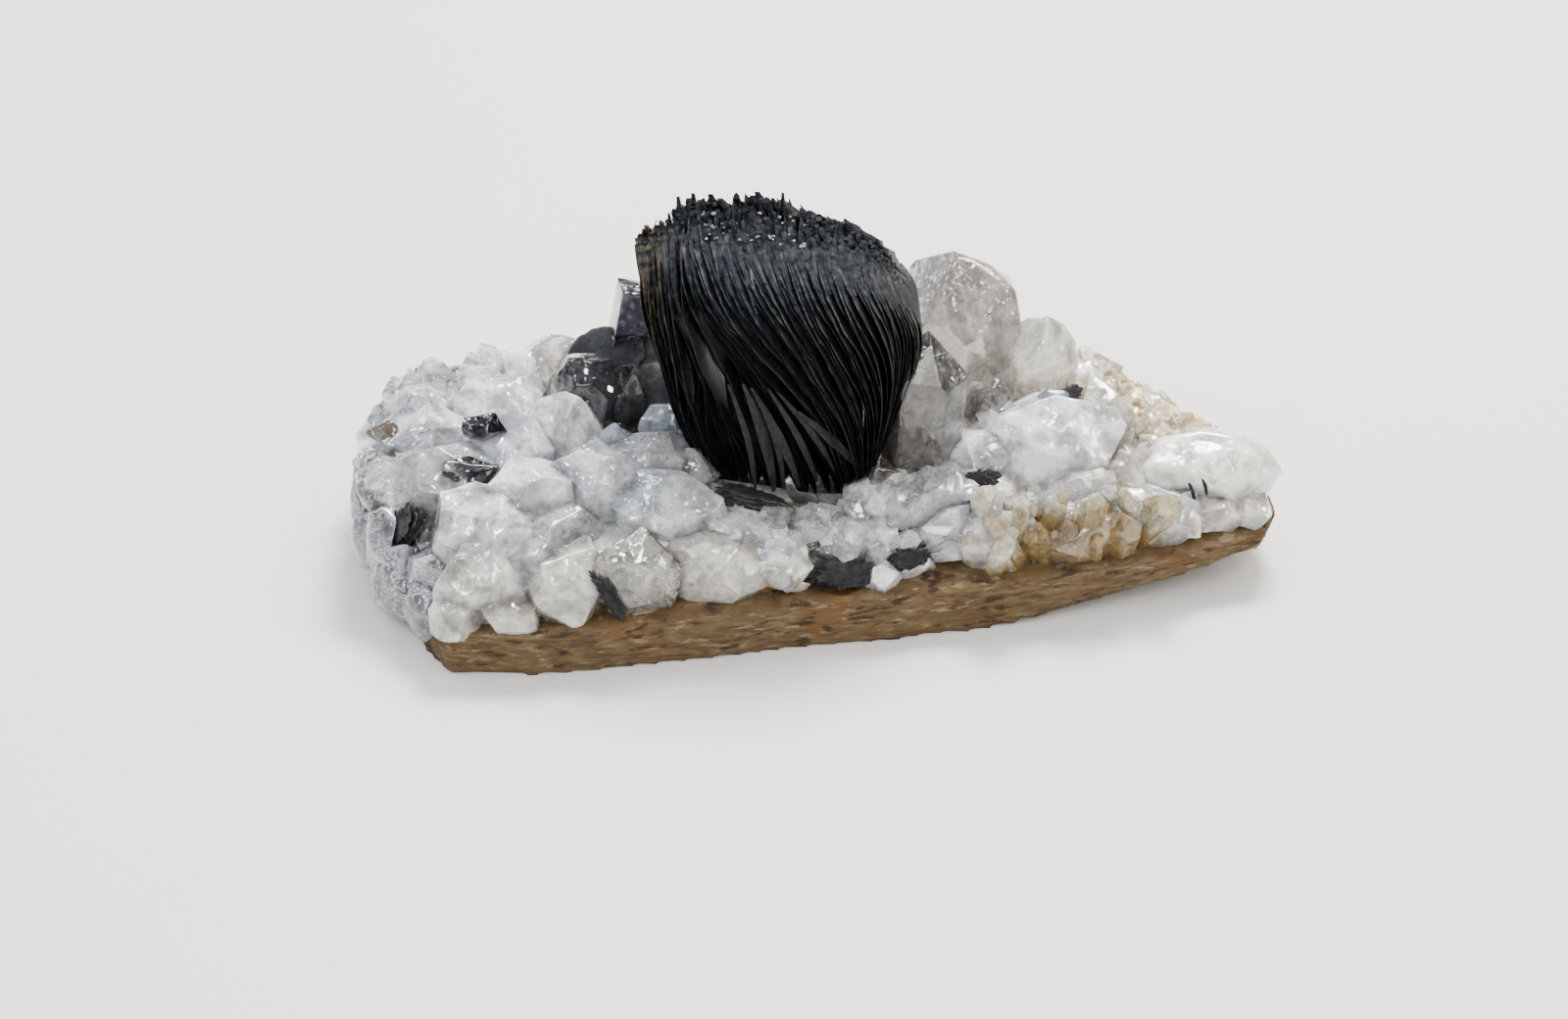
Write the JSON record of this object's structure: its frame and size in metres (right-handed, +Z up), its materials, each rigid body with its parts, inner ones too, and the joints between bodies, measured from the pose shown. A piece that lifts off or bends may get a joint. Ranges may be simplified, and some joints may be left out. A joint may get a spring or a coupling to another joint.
{
  "type": "quartz with hematite rose",
  "caption": "Palm-sized mineral specimen: a crust of milky, clear and smoky quartz on a flat rock slab, with a ball of stacked black hematite blades.",
  "frame": {"origin": "on the flat underside of the rock slab, near its middle", "axes": "+X along the specimen to its thin end, +Y to its back, +Z up away from the face it rests on"},
  "size_m": [0.0882, 0.0451, 0.0337],
  "materials": {
    "rock": "rough broken schist-like rock, brown-beige with rusty streaks",
    "quartz": "natural quartz, milky to clear and smoky, glassy lustre",
    "hematite": "black hematite blades with a metallic lustre"
  },
  "bodies": {
    "root": {"rock_slab": "rock", "quartz_crust": "quartz", "hematite_rose": "hematite", "hematite_rosette": "hematite", "hematite_flake_front": "hematite", "hematite_flake_front_right": "hematite", "hematite_flake_right": "hematite", "hematite_flake_left": "hematite", "hematite_flake_top": "hematite", "hematite_flake_left_end": "hematite", "hematite_blades_foot": "hematite"}
  },
  "joints": []
}
